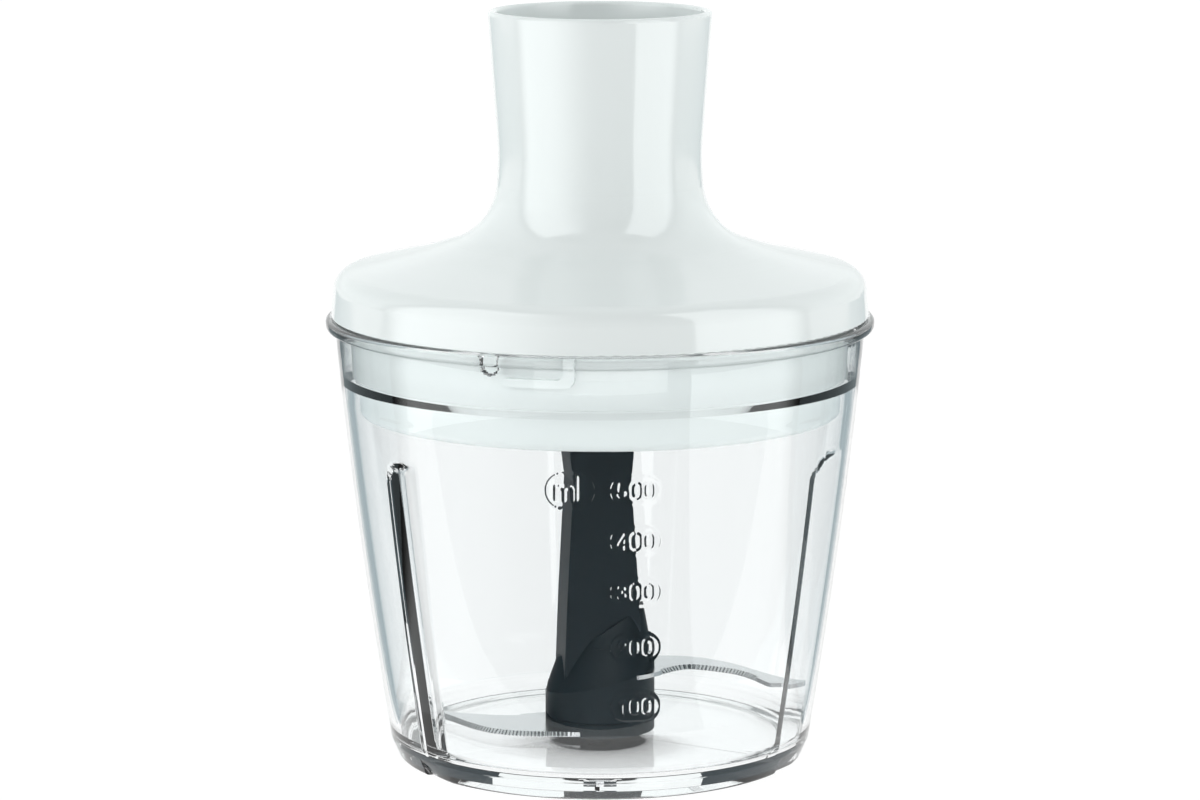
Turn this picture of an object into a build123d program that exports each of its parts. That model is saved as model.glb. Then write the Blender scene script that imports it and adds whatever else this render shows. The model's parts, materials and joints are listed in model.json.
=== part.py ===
from build123d import *
from math import acos, cos, hypot, pi, radians, sin, tan
import os

# Chopping bowl with a two-blade unit and a geared lid.
#
# Millimetres. +Z is up, the origin is on the table under the middle of the bowl, and the
# measuring scale of the bowl faces -Y. Azimuths are in degrees, 0 at the front (-Y) and
# growing anticlockwise seen from above, so +90 is +X.

os.makedirs("parts", exist_ok=True)

# ---------------------------------------------------------------- driving dimensions
# Bowl
BASE_RADIUS = 48.5          # outside of the wall at the top of the base corner
BASE_CORNER = 3.0
RIM_RADIUS = 60.9           # outside of the wall just under the flange
WALL_BULGE = 0.8            # how far the wall swells from a straight cone, at mid height
WALL = 2.4
FLANGE_RADIUS = 63.0
FLANGE_BOTTOM = 99.9
RIM_HEIGHT = 102.5
LEDGE_HEIGHT = 91.0         # above this step the wall is thinner and straight
LEDGE_FALL = 4.0            # how far the step slopes down towards the axis
MOUTH_RADIUS = 58.6
FLOOR_TOP = 4.8
FLOOR_BOTTOM = 2.2
FOOT_RADIUS = 42.5          # inner edge of the foot ring
FLOOR_CORNER = 2.0
BOSS_RADIUS = 5.0
BOSS_TOP = 8.6
LOCKS = 3                   # locking lugs and locking ridges round the bowl
RIB_DEPTH = 1.3
RIB_ROOT = 1.2              # how deep the rib is rooted in the wall
RIB_STARTS = (-57.5, 58.0, 180.0)   # azimuth of the steep face of each rib
RIB_SWEEP = 12.0
RIB_TOP = 74.3
RIB_CORNER = 6.0
LUG_AZIMUTH = -24.0
LUG_WIDTH = 4.2
LUG_BOTTOM = 97.6
LUG_TOP = 102.2
LUG_RADIUS = 57.0           # how close the locking lugs come to the axis

# Spindle and blade unit
PIN_RADIUS = 2.5
PIN_SEAT = 2.8              # the pin stands in the floor from here
PIN_TOP = 40.5
RUNNING = 0.05              # radial clearance of a running fit
SLEEVE_RADIUS = 4.0
SLEEVE_TOP = 38.5
HUB_BORE = SLEEVE_RADIUS + RUNNING
HUB_BOTTOM = 5.6
COLLAR_RADIUS = 12.7
COLLAR_HEIGHT = 17.7        # where the slanted top of the collar crosses the axis
COLLAR_SLOPE = 0.23
SHOULDER_HEIGHT = 28.8      # the shoulder runs into the column here
SHOULDER_SLOPE = 0.64
SHOULDER_REACH = 10.0
SHOULDER_DEPTH = 7.0
SEAM_HEIGHT = 8.9
SEAM_WIDTH = 0.35
SEAM_DEPTH = 0.25
HUB_SHOULDER = 79.0
COLUMN_SECTIONS = (         # height, reach to -X, reach to +X, half depth
    (14.0, 10.7, 10.6, 8.2),
    (36.0, 9.9, 9.2, 7.6),
    (64.7, 8.45, 7.3, 6.8),
    (70.0, 9.1, 7.8, 6.8),
    (HUB_SHOULDER, 9.4, 8.2, 6.8),
)
COLUMN_STRIP = 2.4          # width of the narrow slanted sides
COLUMN_SKEW = 0.62          # depth of the far edge of each flat, as a share of the half depth
HEAD_TOP = 89.4
HEAD_CORE = 4.0
HEAD_RADIUS = 6.8
DOG_ANGLE = 30.0            # each driving dog and each socket dog spans this much
DOGS = 3
DOG_PLAY = 2.0              # gap in front of each socket dog; the lock turn opens the other side
BLADE_THICKNESS = 1.0
LOWER_BLADE = 6.0           # underside of each blade
UPPER_BLADE = 18.9
# Plan of each blade as it points to -X: cutting edge, middle of the rounded tip, lower edge of
# the widened tip, hollow back. The upper blade is then turned by half a turn.
LOWER_OUTLINE = (
    (
        (-1.0, -12.0), (-12.9, -11.9), (-18.8, -11.3), (-24.8, -8.9),
        (-30.9, -3.1), (-36.3, 4.2), (-42.6, 11.6),
    ),
    (-43.0, 12.6),
    ((-42.3, 13.7), (-40.4, 15.6), (-38.4, 16.2)),
    ((-37.4, 15.3), (-36.6, 10.4), (-34.1, 8.2), (-28.1, 6.4), (-22.1, 5.4), (-12.9, 7.6), (-8.0, 9.0)),
)
UPPER_OUTLINE = (
    (
        (-1.0, -12.0), (-13.5, -11.4), (-19.0, -11.2), (-24.0, -9.4),
        (-31.4, -3.6), (-36.9, 3.7), (-44.4, 12.6),
    ),
    (-44.9, 13.8),
    ((-44.0, 15.0), (-41.0, 16.6), (-38.6, 16.6)),
    ((-37.8, 15.6), (-35.6, 10.9), (-31.3, 4.5), (-26.1, 1.1), (-20.5, -0.6), (-16.5, 2.1), (-9.0, 9.5)),
)
TANG_START = -8.0           # the upper blade is narrower from here to the axis
TANG_WIDTH = 9.2
TANG_RING = 6.3
LOWER_ROOT = 10.0           # radius of the moulded-in middle of the lower blade
BLADE_HOLE = 5.05

# Lid
SKIRT_BOTTOM = 102.8
SKIRT_RADIUS = 61.7
SKIRT_BORE = 60.0
CREASE_RADIUS = 60.9
CREASE_HEIGHT = 112.5
DOME_RADIUS = 41.8
DOME_HEIGHT = 117.0
ROOT_RADIUS = 24.5          # corner between the dome and the neck, before it is rounded
ROOT_HEIGHT = 122.8
NECK_WAIST_RADIUS = 23.2
NECK_WAIST_HEIGHT = 139.0
LID_WALL = 2.0
NECK_FLOOR = 123.5
SEAT_HEIGHT = 133.0         # shoulder on which the nose of a motor unit stands
WELL_RADIUS = 19.5
SOCKET_RADIUS = 21.4        # straight register for the nose of a motor unit
SOCKET_LENGTH = 12.0
NECK_TOP = 172.5
NECK_TOP_RADIUS = 25.6
MOUTH_LIP_RADIUS = 23.7
NECK_LUG_HEIGHT = 152.0     # two lugs inside the neck hold the motor unit
NECK_LUG_WIDTH = 6.0
NECK_LUG_THICKNESS = 2.4
NECK_LUG_DEPTH = 1.9
COUPLING_HOLE = 9.0

# Lower cover of the lid
PLUG_BOTTOM = 80.7
PLUG_FLOOR = 82.9
PLUG_RADIUS = 56.5
PLUG_TOP = 105.5
PLUG_STEP = 89.6
PLUG_TAPER = 1.2            # how much narrower the plug is at its bottom edge
SEAL_BORE = 13.0
RIDGE_RADIUS = 58.2
RIDGE_BOTTOM = 95.3
RIDGE_THICKNESS = 1.9
RIDGE_START = -21.0
RIDGE_END = -5.5
STOP_WIDTH = 2.3
PILLAR_RADIUS = 3.2
SEAL_THICKNESS = 1.5

# Gear train
MODULE = 1.0
SUN_TEETH = 12
PLANET_TEETH = 15
RING_TEETH = SUN_TEETH + 2 * PLANET_TEETH
PLANETS = 3
GEAR_BOTTOM = 95.5
GEAR_TOP = 103.5
ADDENDUM = 0.85 * MODULE
DEDENDUM = 1.15 * MODULE
BACKLASH = 0.16
PLANET_PIN_RADIUS = 1.5
INPUT_RADIUS = 3.0
OUTPUT_RADIUS = 10.0
OUTPUT_BOTTOM = 79.6
STUB_WIDTH = 8.0
PLATE_TOP = 105.0
CARRIER_BOTTOM = 91.6
CARRIER_TOP = 95.0
CASE_RADIUS = 28.0
CASE_BORE = 26.0
CASE_WALL = 2.0
CASE_TOP = 106.0
CASE_FLANGE = 35.4
FLANGE_THICKNESS = 3.0
COVER_THICKNESS = 2.5
RING_GEAR_BOTTOM = 94.0
RING_GEAR_TOP = 104.0
LOWER_BUSH_RADIUS = 12.5
BUSH_TOP = 91.2
UPPER_BUSH_RADIUS = 6.0
UPPER_BUSH_BOTTOM = 105.0
UPPER_BUSH_TOP = 118.0
CLIP_RADIUS = 5.4
CLIP_THICKNESS = 0.8
SHAFT_TOP = 129.0
COUPLING_BOTTOM = 119.4
COUPLING_DISC_TOP = 124.5
COUPLING_TOP = 131.5
STAR_LOBES = 6
SCREWS = 3
SCREW_CIRCLE = 32.0
SCREW_START = 30.0          # direction of the first screw from +X
SCREW_DEPTH = 10.0
SCREW_RADIUS = 1.5
SCREW_PLAY = 0.25
SCREW_HEAD_RADIUS = 2.8
SCREW_HEAD_HEIGHT = 2.0
SCREW_DRIVE_RADIUS = 1.2

PRESSURE_ANGLE = radians(20)
FLANK_STEPS = 4
CENTRE_DISTANCE = MODULE * (SUN_TEETH + PLANET_TEETH) / 2


# ---------------------------------------------------------------- shared geometry
def around(radius, azimuth):
    """Plan point at a radius and an azimuth."""
    return (radius * sin(radians(azimuth)), -radius * cos(radians(azimuth)))


def radial_plane(azimuth):
    """Upright half plane through the axis: x runs outwards, y runs up."""
    out_x, out_y = around(1, azimuth)
    return Plane(origin=(0, 0, 0), x_dir=(out_x, out_y, 0), z_dir=(out_y, -out_x, 0))


def facing_plane(azimuth, radius, height=0.0):
    """Upright plane seen from outside the bowl: x runs to the right, y up, normal outwards."""
    x, y = around(radius, azimuth)
    out_x, out_y = around(1, azimuth)
    return Plane(origin=(x, y, height), x_dir=(-out_y, out_x, 0), z_dir=(out_x, out_y, 0))


def wall_radius(height):
    """Outside radius of the bowl wall."""
    share = (height - BASE_CORNER) / (FLANGE_BOTTOM - BASE_CORNER)
    straight = BASE_RADIUS + (RIM_RADIUS - BASE_RADIUS) * share
    return straight + 4 * WALL_BULGE * share * (1 - share)


def inner_radius(height):
    """Inside radius of the bowl wall below the ledge."""
    return wall_radius(height) - WALL


def ring(outer, inner):
    """Flat ring round the axis."""
    with BuildSketch() as made:
        Circle(outer)
        Circle(inner, mode=Mode.SUBTRACT)
    return made.sketch


def ring_sector(outer, inner, middle, sweep):
    """Piece of a flat ring that spans a sweep of degrees about a middle direction from +X."""
    half = radians(sweep) / 2
    reach = 2 * outer
    with BuildSketch() as made:
        add(ring(outer, inner))
        with BuildLine():
            Polyline((0, 0), (reach * cos(half), -reach * sin(half)), (reach * cos(half), reach * sin(half)),
                     close=True)
        make_face(mode=Mode.INTERSECT)
    return made.sketch.rotate(Axis.Z, middle)


def gear_outline(teeth, addendum, dedendum, play):
    """Involute gear outline with a tooth on +X; play thins each tooth along the pitch circle."""
    pitch_radius = MODULE * teeth / 2
    base_radius = pitch_radius * cos(PRESSURE_ANGLE)
    outer = pitch_radius + addendum
    root = pitch_radius - dedendum
    half_tooth = (pi * MODULE / 2 - play) / (2 * pitch_radius)

    def half_width(radius):
        """Half the angle of a tooth at a radius."""
        tilt = acos(min(1.0, base_radius / radius))
        return half_tooth + involute(PRESSURE_ANGLE) - involute(tilt)

    lowest = max(root, base_radius)
    flank = [lowest + (outer - lowest) * step / FLANK_STEPS for step in range(FLANK_STEPS + 1)]
    rising = [(root, half_width(lowest))] if root < lowest else []
    rising += [(radius, half_width(radius)) for radius in flank]
    points = []
    for tooth in range(teeth):
        middle = 2 * pi * tooth / teeth
        for radius, half in rising:
            points.append((radius * cos(middle - half), radius * sin(middle - half)))
        for radius, half in reversed(rising):
            points.append((radius * cos(middle + half), radius * sin(middle + half)))
    with BuildSketch() as made:
        with BuildLine():
            Polyline(*points, close=True)
        make_face()
    return made.sketch


def involute(angle):
    """Involute function."""
    return tan(angle) - angle


def finish_piece(piece, label):
    """Labels a finished piece and writes its file."""
    piece.part.label = label
    export_step(piece.part, f"parts/{label}.step")


# ---------------------------------------------------------------- bowl
def make_rib(start):
    """Rib on the inside of the wall: a steep face at the start azimuth, then a long slope."""
    with BuildPart() as made:
        for low, high in ((FLOOR_TOP - 1, 40.0), (40.0, RIB_TOP + 2)):
            for height in (low, high):
                wall = inner_radius(height)
                with BuildSketch(Plane.XY.offset(height)):
                    with BuildLine():
                        Polyline(
                            around(wall - RIB_DEPTH, start),
                            around(wall + RIB_ROOT, start),
                            around(wall + RIB_ROOT, start + RIB_SWEEP),
                            around(wall + RIB_ROOT / 2, start + RIB_SWEEP),
                            close=True,
                        )
                    make_face()
            loft(ruled=True)
        # the top corner above the steep face is rounded
        with BuildSketch(facing_plane(start, 30.0)) as front:
            Rectangle(30, RIB_TOP, align=(Align.MIN, Align.MIN))
            fillet(front.vertices().group_by(Axis.Y)[-1].sort_by(Axis.X)[0], RIB_CORNER)
        extrude(amount=40, mode=Mode.INTERSECT)
    return made.part


with BuildPart() as lug:
    lug_height = LUG_TOP - LUG_BOTTOM
    with BuildSketch(facing_plane(LUG_AZIMUTH, LUG_RADIUS, LUG_BOTTOM + lug_height / 2)):
        SlotOverall(lug_height, LUG_WIDTH, rotation=90)
    extrude(amount=MOUTH_RADIUS + 1 - LUG_RADIUS)

with BuildPart() as bowl:
    wall_top = LEDGE_HEIGHT - LEDGE_FALL
    with BuildSketch(Plane.XZ) as bowl_section:
        with BuildLine():
            ThreePointArc(
                (wall_radius(BASE_CORNER), BASE_CORNER),
                (wall_radius(50), 50),
                (RIM_RADIUS, FLANGE_BOTTOM),
            )
            Polyline(
                (RIM_RADIUS, FLANGE_BOTTOM),
                (FLANGE_RADIUS, FLANGE_BOTTOM),
                (FLANGE_RADIUS, RIM_HEIGHT),
                (MOUTH_RADIUS, RIM_HEIGHT),
                (MOUTH_RADIUS, LEDGE_HEIGHT),
                (inner_radius(wall_top), wall_top),
            )
            ThreePointArc(
                (inner_radius(wall_top), wall_top),
                (inner_radius(48), 48),
                (inner_radius(FLOOR_TOP), FLOOR_TOP),
            )
            Polyline(
                (inner_radius(FLOOR_TOP), FLOOR_TOP),
                (BOSS_RADIUS, FLOOR_TOP),
                (BOSS_RADIUS, BOSS_TOP),
                (PIN_RADIUS, BOSS_TOP),
                (PIN_RADIUS, PIN_SEAT),
                (0, PIN_SEAT),
                (0, FLOOR_BOTTOM),
                (FOOT_RADIUS - 1, FLOOR_BOTTOM),
                (FOOT_RADIUS, 0),
                (wall_radius(BASE_CORNER) - BASE_CORNER, 0),
            )
            TangentArc(
                (wall_radius(BASE_CORNER) - BASE_CORNER, 0),
                (wall_radius(BASE_CORNER), BASE_CORNER),
                tangent=(1, 0),
            )
        make_face()
        flange_corners = bowl_section.vertices().group_by(Axis.X)[-1]
        fillet(flange_corners, 1.0)
        floor_corner = (inner_radius(FLOOR_TOP), FLOOR_TOP)
        fillet(bowl_section.vertices().sort_by_distance(floor_corner)[0], FLOOR_CORNER)
        fillet(bowl_section.vertices().sort_by_distance((BOSS_RADIUS, FLOOR_TOP))[0], 1.0)
    revolve(axis=Axis.Z)
    for azimuth in RIB_STARTS:
        add(make_rib(azimuth))
    with PolarLocations(0, LOCKS):
        add(lug.part)
finish_piece(bowl, "bowl")

with BuildPart() as spindle_pin:
    with BuildSketch(Plane.XY.offset(PIN_SEAT)):
        Circle(PIN_RADIUS)
    extrude(amount=PIN_TOP - PIN_SEAT)
    fillet(spindle_pin.edges().group_by(Axis.Z)[-1], 0.8)
finish_piece(spindle_pin, "spindle_pin")


# ---------------------------------------------------------------- blade unit
def blade_outline(edge, tip, pad, spine):
    """Plan of a blade that points to -X: bowed cutting edge, hollow back and a widened, rounded tip."""
    with BuildSketch() as made:
        with BuildLine():
            Spline(*edge)
            ThreePointArc(edge[-1], tip, pad[0])
            Polyline(*pad, spine[0])
            Spline(*spine)
            Polyline(spine[-1], (0.0, 8.0), edge[0])
        make_face()
    return made.sketch


with BuildPart() as spindle_sleeve:
    with BuildSketch(Plane.XY.offset(BOSS_TOP)):
        add(ring(SLEEVE_RADIUS, PIN_RADIUS + RUNNING))
    extrude(amount=SLEEVE_TOP - BOSS_TOP)
finish_piece(spindle_sleeve, "spindle_sleeve")

with BuildPart() as lower_blade:
    with BuildSketch(Plane.XY.offset(LOWER_BLADE)):
        add(blade_outline(*LOWER_OUTLINE))
        Circle(LOWER_ROOT)
        Circle(BLADE_HOLE, mode=Mode.SUBTRACT)
    extrude(amount=BLADE_THICKNESS)
finish_piece(lower_blade, "lower_blade")

with BuildPart() as upper_blade:
    with BuildSketch(Plane.XY.offset(UPPER_BLADE)):
        add(blade_outline(*UPPER_OUTLINE))
        with Locations((TANG_START, 0)):
            Rectangle(30, 40, align=(Align.MIN, Align.CENTER), mode=Mode.SUBTRACT)
        Circle(TANG_RING)
        with Locations((TANG_START - 1, 0)):
            Rectangle(1 - TANG_START, TANG_WIDTH, align=(Align.MIN, Align.CENTER))
        Circle(BLADE_HOLE, mode=Mode.SUBTRACT)
    extrude(amount=BLADE_THICKNESS)
    upper_blade.part = upper_blade.part.rotate(Axis.Z, 180)
finish_piece(upper_blade, "upper_blade")


def tilted_plane(height, slope):
    """Plane that crosses the axis at a height and rises towards +X."""
    return Plane(origin=(0, 0, height), x_dir=(1, 0, slope), z_dir=(-slope, 0, 1))


def column_section(left, right, depth):
    """Four-sided section of the hub: long flats front and back, narrow slanted sides."""
    with BuildSketch() as made:
        with BuildLine():
            Polyline(
                (COLUMN_STRIP - left, -depth),
                (right, -COLUMN_SKEW * depth),
                (right - COLUMN_STRIP, depth),
                (-left, COLUMN_SKEW * depth),
                close=True,
            )
        make_face()
        corners = made.vertices().sort_by(Axis.Y)
        fillet([corners[0], corners[-1]], 0.5)
        fillet(made.vertices().group_by(Axis.X)[0], 0.4)
        fillet(made.vertices().group_by(Axis.X)[-1], 0.4)
    return made.sketch


with BuildPart() as blade_holder:
    # round collar with a slanted top
    with BuildSketch(Plane.XY.offset(HUB_BOTTOM)):
        Circle(COLLAR_RADIUS)
    extrude(amount=30)
    split(bisect_by=tilted_plane(COLLAR_HEIGHT, COLLAR_SLOPE), keep=Keep.BOTTOM)
    # shoulder between the collar and the column
    with BuildSketch(tilted_plane(COLLAR_HEIGHT, COLLAR_SLOPE)):
        Ellipse(COLLAR_RADIUS * hypot(1, COLLAR_SLOPE), COLLAR_RADIUS)
    with BuildSketch(tilted_plane(SHOULDER_HEIGHT, SHOULDER_SLOPE)):
        Ellipse(SHOULDER_REACH * hypot(1, SHOULDER_SLOPE), SHOULDER_DEPTH)
    loft()
    # tapered column
    for height, left, right, depth in COLUMN_SECTIONS:
        with BuildSketch(Plane.XY.offset(height)):
            add(column_section(left, right, depth))
    loft(ruled=True)
    # driving head
    with BuildSketch(Plane.XY.offset(HUB_SHOULDER)):
        Circle(HEAD_CORE)
        with PolarLocations(0, DOGS):
            add(ring_sector(HEAD_RADIUS, HEAD_CORE - 1, 90, DOG_ANGLE))
    extrude(amount=HEAD_TOP - HUB_SHOULDER)
    chamfer(blade_holder.edges().group_by(Axis.Z)[-1], 0.5)
    # seam above the blade clamp
    with BuildSketch(Plane.XY.offset(SEAM_HEIGHT)):
        add(ring(COLLAR_RADIUS + 1, COLLAR_RADIUS - SEAM_DEPTH))
    extrude(amount=SEAM_WIDTH, mode=Mode.SUBTRACT)
    # bearing bore, wider round the boss of the bowl
    with BuildSketch(Plane.XY.offset(HUB_BOTTOM)):
        Circle(BOSS_RADIUS + 0.8)
    extrude(amount=BOSS_TOP + 0.2 - HUB_BOTTOM, mode=Mode.SUBTRACT)
    with BuildSketch(Plane.XY.offset(HUB_BOTTOM)):
        Circle(HUB_BORE)
    extrude(amount=PIN_TOP + 0.4 - HUB_BOTTOM, mode=Mode.SUBTRACT)
    # seats of the moulded-in blades
    add(lower_blade.part, mode=Mode.SUBTRACT)
    add(upper_blade.part, mode=Mode.SUBTRACT)
finish_piece(blade_holder, "blade_holder")

# ---------------------------------------------------------------- lid
with BuildPart() as lid_shell:
    with BuildSketch(Plane.XZ) as shell_section:
        with BuildLine():
            FilletPolyline(
                (SKIRT_RADIUS, SKIRT_BOTTOM),
                (CREASE_RADIUS, CREASE_HEIGHT),
                (DOME_RADIUS, DOME_HEIGHT),
                (ROOT_RADIUS, ROOT_HEIGHT),
                (NECK_WAIST_RADIUS, NECK_WAIST_HEIGHT),
                (NECK_TOP_RADIUS, NECK_TOP),
                radius=[4.6, 60.0, 15.1, 60.0],
            )
            Polyline(
                (NECK_TOP_RADIUS, NECK_TOP),
                (MOUTH_LIP_RADIUS, NECK_TOP),
                (SOCKET_RADIUS + 0.3, SEAT_HEIGHT + SOCKET_LENGTH),
                (SOCKET_RADIUS, SEAT_HEIGHT + SOCKET_LENGTH),
                (SOCKET_RADIUS, SEAT_HEIGHT),
                (WELL_RADIUS, SEAT_HEIGHT),
                (WELL_RADIUS, NECK_FLOOR),
                (COUPLING_HOLE, NECK_FLOOR),
                (COUPLING_HOLE, NECK_FLOOR - LID_WALL),
                (WELL_RADIUS + LID_WALL, NECK_FLOOR - LID_WALL),
                (DOME_RADIUS, DOME_HEIGHT - LID_WALL - 0.1),
                (CREASE_RADIUS - LID_WALL, CREASE_HEIGHT - LID_WALL - 0.2),
                (SKIRT_BORE, PLUG_TOP + 1),
                (SKIRT_BORE, SKIRT_BOTTOM),
                (SKIRT_RADIUS, SKIRT_BOTTOM),
            )
        make_face()
        lip = shell_section.vertices().group_by(Axis.Y)[-1]
        fillet(lip, 0.9)
        skirt_edge = (SKIRT_RADIUS, SKIRT_BOTTOM)
        fillet(shell_section.vertices().sort_by_distance(skirt_edge)[0], 0.4)
    revolve(axis=Axis.Z)
    # two small lugs inside the neck hold a motor unit
    for azimuth in (90, -90):
        with BuildSketch(facing_plane(azimuth, SOCKET_RADIUS + 0.2, NECK_LUG_HEIGHT)):
            SlotOverall(NECK_LUG_WIDTH, NECK_LUG_THICKNESS)
        extrude(amount=NECK_LUG_DEPTH)
finish_piece(lid_shell, "lid_shell")

with BuildPart() as ridge:
    middle = (RIDGE_START + RIDGE_END) / 2
    half_length = RIDGE_RADIUS * radians(RIDGE_END - RIDGE_START) / 2
    with BuildSketch(facing_plane(middle, 0)) as ridge_face:
        with BuildLine():
            Polyline(
                (-half_length, RIDGE_BOTTOM),
                (half_length, RIDGE_BOTTOM),
                (half_length, SKIRT_BOTTOM),
                (half_length - STOP_WIDTH, SKIRT_BOTTOM),
                (half_length - STOP_WIDTH, RIDGE_BOTTOM + RIDGE_THICKNESS),
                (-half_length, RIDGE_BOTTOM + RIDGE_THICKNESS),
                close=True,
            )
        make_face()
        fillet(ridge_face.vertices().sort_by_distance((half_length, RIDGE_BOTTOM))[0], 2.2)
        inner_corner = (half_length - STOP_WIDTH, RIDGE_BOTTOM + RIDGE_THICKNESS)
        fillet(ridge_face.vertices().sort_by_distance(inner_corner)[0], 1.5)
        fillet(ridge_face.vertices().group_by(Axis.X)[0], 0.6)
    extrude(amount=RIDGE_RADIUS + 2)
    with BuildSketch(Plane.XY.offset(RIDGE_BOTTOM - 1)):
        add(ring(RIDGE_RADIUS, PLUG_RADIUS - 0.6))
    extrude(amount=PLUG_TOP - RIDGE_BOTTOM, mode=Mode.INTERSECT)

with BuildPart() as lid_plug:
    with BuildSketch(Plane.XZ) as plug_section:
        with BuildLine():
            Polyline(
                (SEAL_BORE, PLUG_BOTTOM),
                (PLUG_RADIUS - PLUG_TAPER, PLUG_BOTTOM),
                (PLUG_RADIUS - 0.6, PLUG_STEP),
                (PLUG_RADIUS, PLUG_STEP + 0.6),
                (PLUG_RADIUS, RIM_HEIGHT + SEAL_THICKNESS),
                (SKIRT_BORE, RIM_HEIGHT + SEAL_THICKNESS),
                (SKIRT_BORE, PLUG_TOP),
                (PLUG_RADIUS - LID_WALL, PLUG_TOP),
                (PLUG_RADIUS - PLUG_TAPER - LID_WALL, PLUG_FLOOR),
                (SEAL_BORE, PLUG_FLOOR),
                close=True,
            )
        make_face()
        plug_edge = (PLUG_RADIUS - PLUG_TAPER, PLUG_BOTTOM)
        fillet(plug_section.vertices().sort_by_distance(plug_edge)[0], 2.0)
    revolve(axis=Axis.Z)
    with PolarLocations(0, LOCKS):
        add(ridge.part)
    # pillars for the screws of the gear case
    with BuildSketch(Plane.XY.offset(PLUG_FLOOR - 0.5)):
        with PolarLocations(SCREW_CIRCLE, SCREWS, start_angle=SCREW_START):
            Circle(PILLAR_RADIUS)
    extrude(amount=CASE_TOP - FLANGE_THICKNESS - PLUG_FLOOR + 0.5)
    with BuildSketch(Plane.XY.offset(CASE_TOP - FLANGE_THICKNESS)):
        with PolarLocations(SCREW_CIRCLE, SCREWS, start_angle=SCREW_START):
            Circle(SCREW_RADIUS)
    extrude(amount=-SCREW_DEPTH, mode=Mode.SUBTRACT)
finish_piece(lid_plug, "lid_plug")

with BuildPart() as seal_ring:
    with BuildSketch(Plane.XY.offset(RIM_HEIGHT)):
        add(ring(SKIRT_BORE - 0.2, MOUTH_RADIUS + 0.1))
    extrude(amount=SEAL_THICKNESS)
finish_piece(seal_ring, "seal_ring")

with BuildPart() as shaft_seal:
    with BuildSketch(Plane.XZ):
        with BuildLine():
            Polyline(
                (SEAL_BORE, PLUG_BOTTOM + 0.2),
                (SEAL_BORE, PLUG_FLOOR),
                (OUTPUT_RADIUS + 1.4, PLUG_FLOOR),
                (OUTPUT_RADIUS + 1.0, PLUG_BOTTOM + 1.2),
                (OUTPUT_RADIUS + RUNNING, PLUG_BOTTOM + 0.6),
                (OUTPUT_RADIUS + RUNNING, PLUG_BOTTOM + 0.2),
                close=True,
            )
        make_face()
    revolve(axis=Axis.Z)
finish_piece(shaft_seal, "shaft_seal")

# ---------------------------------------------------------------- gear case
with BuildPart() as gear_housing:
    with BuildSketch(Plane.XZ):
        with BuildLine():
            Polyline(
                (LOWER_BUSH_RADIUS, PLUG_FLOOR),
                (CASE_RADIUS, PLUG_FLOOR),
                (CASE_RADIUS, CASE_TOP - FLANGE_THICKNESS),
                (CASE_FLANGE, CASE_TOP - FLANGE_THICKNESS),
                (CASE_FLANGE, CASE_TOP),
                (CASE_BORE, CASE_TOP),
                (CASE_BORE, RING_GEAR_BOTTOM),
                (CASE_BORE - CASE_WALL, RING_GEAR_BOTTOM),
                (CASE_BORE - CASE_WALL, PLUG_FLOOR + CASE_WALL),
                (LOWER_BUSH_RADIUS + CASE_WALL, PLUG_FLOOR + CASE_WALL),
                (LOWER_BUSH_RADIUS + CASE_WALL, BUSH_TOP),
                (LOWER_BUSH_RADIUS, BUSH_TOP),
                close=True,
            )
        make_face()
    revolve(axis=Axis.Z)
    with BuildSketch(Plane.XY.offset(CASE_TOP)):
        with PolarLocations(SCREW_CIRCLE, SCREWS, start_angle=SCREW_START):
            Circle(SCREW_RADIUS + SCREW_PLAY)
    extrude(amount=-FLANGE_THICKNESS, mode=Mode.SUBTRACT)
finish_piece(gear_housing, "gear_housing")

with BuildPart() as gear_cover:
    with BuildSketch(Plane.XZ):
        with BuildLine():
            Polyline(
                (UPPER_BUSH_RADIUS, UPPER_BUSH_BOTTOM),
                (UPPER_BUSH_RADIUS + CASE_WALL, UPPER_BUSH_BOTTOM),
                (UPPER_BUSH_RADIUS + CASE_WALL, CASE_TOP),
                (CASE_BORE - CASE_WALL, CASE_TOP),
                (CASE_BORE - CASE_WALL, RING_GEAR_TOP),
                (CASE_BORE, RING_GEAR_TOP),
                (CASE_BORE, CASE_TOP),
                (CASE_FLANGE, CASE_TOP),
                (CASE_FLANGE, CASE_TOP + COVER_THICKNESS),
                (UPPER_BUSH_RADIUS + CASE_WALL, CASE_TOP + COVER_THICKNESS),
                (UPPER_BUSH_RADIUS + CASE_WALL, UPPER_BUSH_TOP),
                (UPPER_BUSH_RADIUS, UPPER_BUSH_TOP),
                close=True,
            )
        make_face()
    revolve(axis=Axis.Z)
    with BuildSketch(Plane.XY.offset(CASE_TOP)):
        with PolarLocations(SCREW_CIRCLE, SCREWS, start_angle=SCREW_START):
            Circle(SCREW_RADIUS + SCREW_PLAY)
    extrude(amount=COVER_THICKNESS, mode=Mode.SUBTRACT)
finish_piece(gear_cover, "gear_cover")

with BuildPart() as cover_screws:
    with BuildSketch(Plane.XY.offset(CASE_TOP + COVER_THICKNESS)):
        with PolarLocations(SCREW_CIRCLE, SCREWS, start_angle=SCREW_START):
            Circle(SCREW_HEAD_RADIUS)
    extrude(amount=SCREW_HEAD_HEIGHT)
    with BuildSketch(Plane.XY.offset(CASE_TOP + COVER_THICKNESS + SCREW_HEAD_HEIGHT)):
        with PolarLocations(SCREW_CIRCLE, SCREWS, start_angle=SCREW_START):
            RegularPolygon(SCREW_DRIVE_RADIUS, 6)
    extrude(amount=-0.7 * SCREW_HEAD_HEIGHT, mode=Mode.SUBTRACT)
    with BuildSketch(Plane.XY.offset(CASE_TOP + COVER_THICKNESS)):
        with PolarLocations(SCREW_CIRCLE, SCREWS, start_angle=SCREW_START):
            Circle(SCREW_RADIUS)
    extrude(amount=1 - COVER_THICKNESS - FLANGE_THICKNESS - SCREW_DEPTH)
finish_piece(cover_screws, "cover_screws")

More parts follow.
